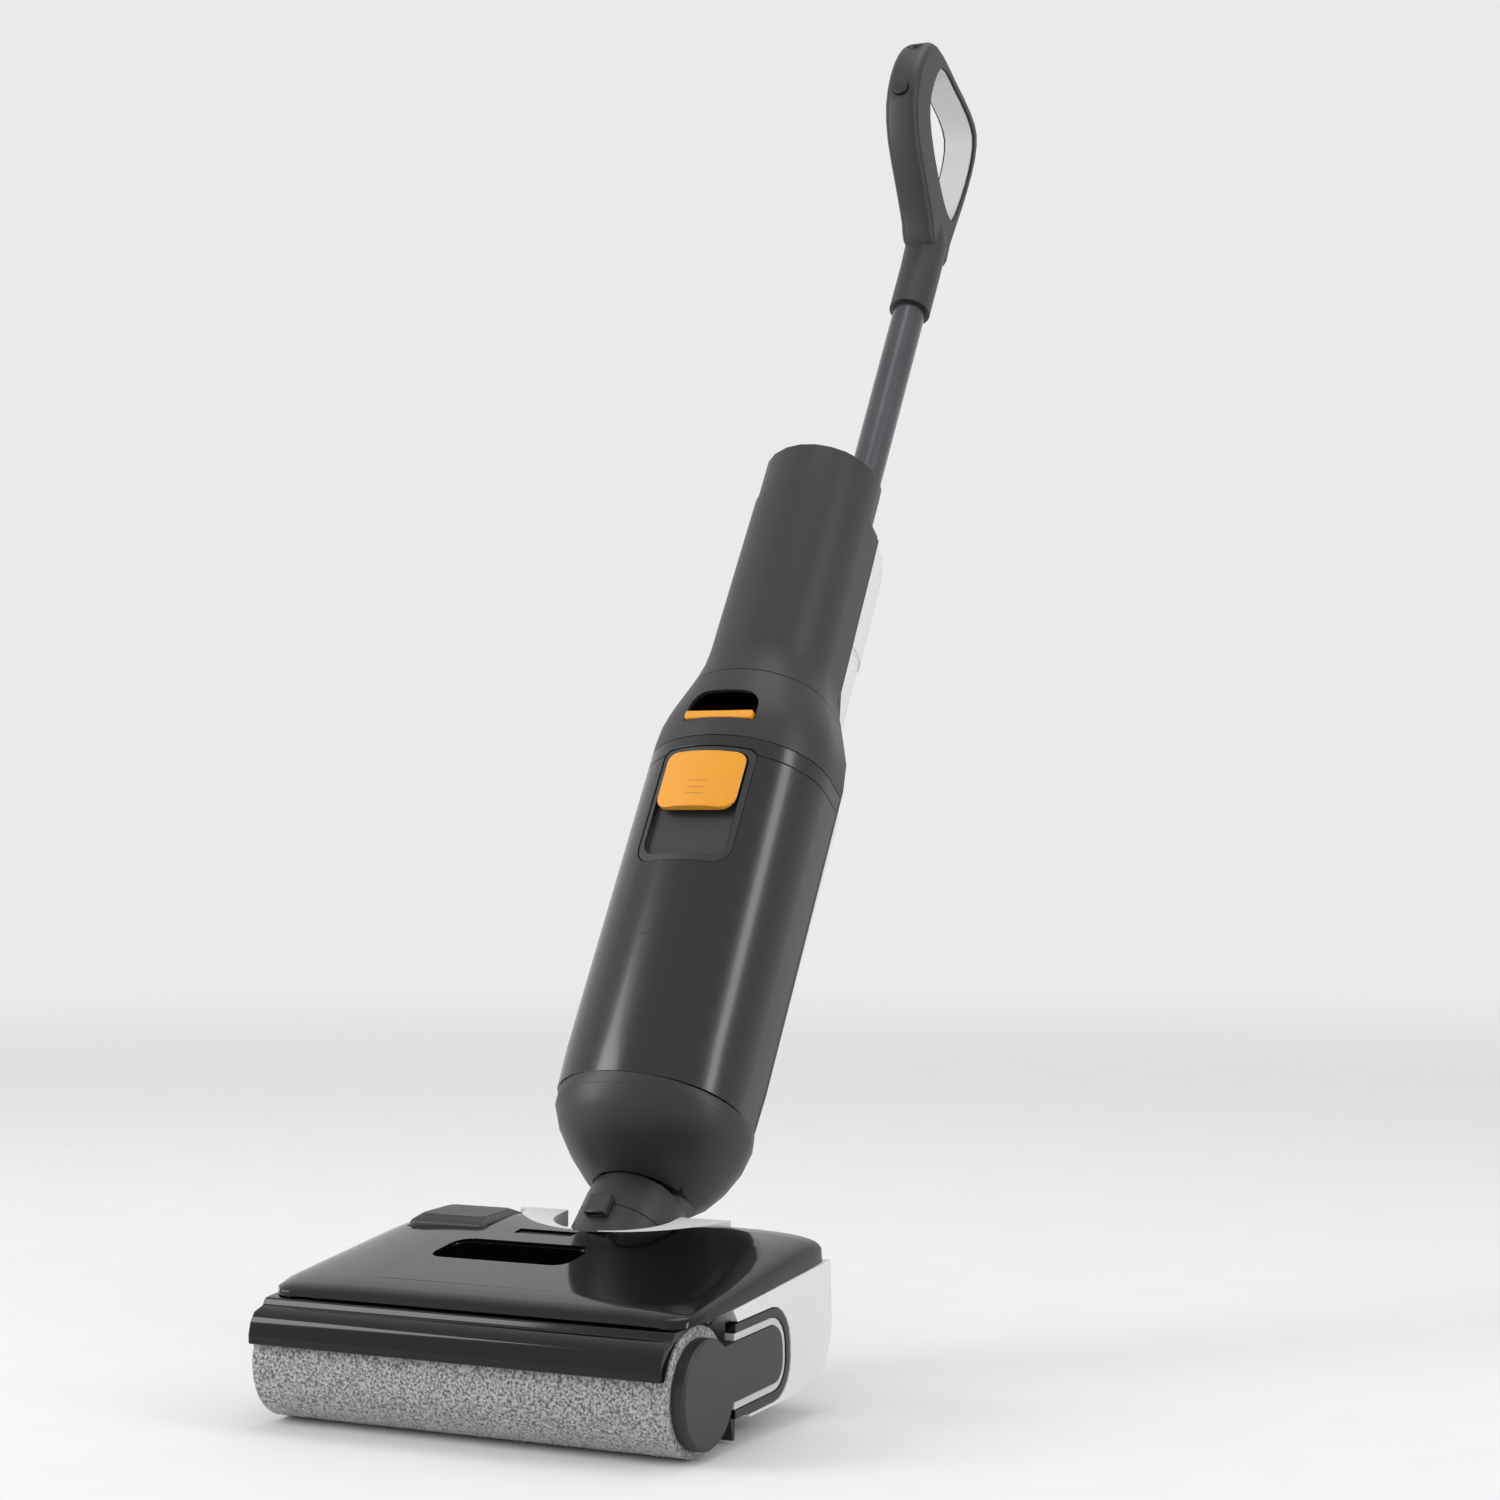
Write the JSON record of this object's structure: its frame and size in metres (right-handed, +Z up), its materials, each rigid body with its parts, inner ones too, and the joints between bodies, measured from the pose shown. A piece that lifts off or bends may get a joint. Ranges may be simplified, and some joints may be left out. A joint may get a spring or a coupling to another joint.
{
  "type": "wet dry floor scrubber",
  "caption": "Upright wet dry floor scrubber: powered fleece roller head on two wheels, reclining and swivelling body, water tanks and loop handle.",
  "frame": {"origin": "on the floor, under the middle of the object's footprint", "axes": "+Z up, the roller and the front of the machine at -Y, the handle at +Y, +X to the right seen from the front"},
  "size_m": [0.2875, 0.776, 0.9675],
  "materials": {
    "charcoal": "satin moulded plastic, dark charcoal",
    "inner_black": "plain moulded plastic",
    "key_black": "satin key cap",
    "gloss_black": "piano-black gloss",
    "smoke": "smoke-tinted clear plastic, near opaque",
    "white": "satin white",
    "light_grey": "satin light grey",
    "orange": "satin orange",
    "fleece": "grey melange fleece",
    "tyre": "soft rubber",
    "rubber": "soft rubber lip",
    "steel": "bright steel",
    "motor_casing": "cast casing",
    "tube_metal": "dark anodised, satin",
    "board": "printed circuit board",
    "filter": "pleated filter material"
  },
  "bodies": {
    "head": {"head_base": "white", "side_lip": "light_grey", "side_trim": "gloss_black", "left_end_plate": "inner_black", "roller_motor": "steel", "bay_cover": "charcoal", "neck_surround": "white", "roller_cover": "gloss_black", "spray_bar": "inner_black", "roller_scraper": "inner_black", "suction_duct": "inner_black", "axle_left": "steel", "axle_right": "steel", "wheel_motor_left": "steel", "wheel_motor_right": "steel", "base_plate": "inner_black", "squeegee": "rubber", "pivot_pin_left": "steel", "pivot_pin_right": "steel"},
    "end_cover": {"roller_end_cover": "charcoal"},
    "lid": {"top_lid": "gloss_black", "lid_grip_cup": "gloss_black"},
    "latch": {"lid_latch": "charcoal"},
    "roller": {"roller_fleece": "fleece", "roller_core": "light_grey", "roller_hub_left": "inner_black", "roller_hub_right": "inner_black"},
    "left_wheel": {"wheel_left": "inner_black", "tyre_left": "tyre"},
    "right_wheel": {"wheel_right": "inner_black", "tyre_right": "tyre"},
    "yoke": {"neck_yoke": "charcoal", "hose_clip": "charcoal"},
    "upper": {"neck_tube": "charcoal", "lower_cup": "charcoal", "shoulder": "charcoal", "motor_housing": "charcoal", "display_cap": "gloss_black", "suction_motor": "motor_casing", "battery_pack": "inner_black", "control_board": "board", "rear_frame": "charcoal", "tube_socket": "white", "tube": "tube_metal", "handle_shell": "charcoal", "handle_liner": "light_grey"},
    "dirty_tank": {"dirty_water_tank": "smoke", "tank_lid": "smoke", "recess_plate": "charcoal", "inlet_pipe": "smoke", "tank_filter": "filter", "button_spring": "steel"},
    "float_ring": {"float": "light_grey"},
    "tank_release": {"tank_button": "orange"},
    "filter_catch": {"filter_release": "orange"},
    "clean_tank": {"clean_water_tank": "white", "clean_tank_cap": "white"},
    "power_key": {"power_button": "key_black"},
    "mode_key": {"mode_button": "key_black"}
  },
  "joints": [
    {"name": "recline", "type": "hinge", "parent": "head", "child": "yoke", "pos_m": [0, -0.1945, 0.0818], "axis": [-1, 0, 0], "range_deg": [-26.2, 57]},
    {"name": "swivel", "type": "hinge", "parent": "yoke", "child": "upper", "pos_m": [0, -0.1945, 0.0818], "axis": [0, 0.7373, 0.6756], "range_deg": [-35, 35]},
    {"name": "roller_spin", "type": "hinge", "parent": "head", "child": "roller", "pos_m": [0, -0.3421, 0.037], "axis": [1, 0, 0], "continuous": true},
    {"name": "wheel_left_spin", "type": "hinge", "parent": "head", "child": "left_wheel", "pos_m": [0, -0.1991, 0.021], "axis": [1, 0, 0], "continuous": true},
    {"name": "wheel_right_spin", "type": "hinge", "parent": "head", "child": "right_wheel", "pos_m": [0, -0.1991, 0.021], "axis": [1, 0, 0], "continuous": true},
    {"name": "lid_lift", "type": "slide", "parent": "head", "child": "lid", "axis": [0, 0, 1], "range_m": [0, 0.015]},
    {"name": "lid_latch_press", "type": "slide", "parent": "lid", "child": "latch", "axis": [0, 0, -1], "range_m": [0, 0.0025], "stiffness_N_per_m": 400},
    {"name": "end_cover_pull", "type": "slide", "parent": "head", "child": "end_cover", "axis": [1, 0, 0], "range_m": [0, 0.025]},
    {"name": "dirty_tank_out", "type": "slide", "parent": "upper", "child": "dirty_tank", "axis": [0, -0.8536, 0.521], "range_m": [0, 0.08]},
    {"name": "tank_button_press", "type": "slide", "parent": "dirty_tank", "child": "tank_release", "axis": [0, 0.8536, -0.521], "range_m": [0, 0.003], "stiffness_N_per_m": 600},
    {"name": "float_rise", "type": "slide", "parent": "dirty_tank", "child": "float_ring", "axis": [0, 0.521, 0.8536], "range_m": [0, 0.06]},
    {"name": "filter_release_push", "type": "slide", "parent": "upper", "child": "filter_catch", "axis": [0, 0.521, 0.8536], "range_m": [0, 0.004], "stiffness_N_per_m": 400},
    {"name": "clean_tank_off", "type": "slide", "parent": "upper", "child": "clean_tank", "axis": [0, 0.8536, -0.521], "range_m": [0, 0.06]},
    {"name": "power_button_press", "type": "slide", "parent": "upper", "child": "power_key", "axis": [0, 0.2351, -0.972], "range_m": [0, 0.0012], "stiffness_N_per_m": 300},
    {"name": "mode_button_press", "type": "slide", "parent": "upper", "child": "mode_key", "axis": [0, 0.9311, -0.3649], "range_m": [0, 0.0012], "stiffness_N_per_m": 300}
  ]
}
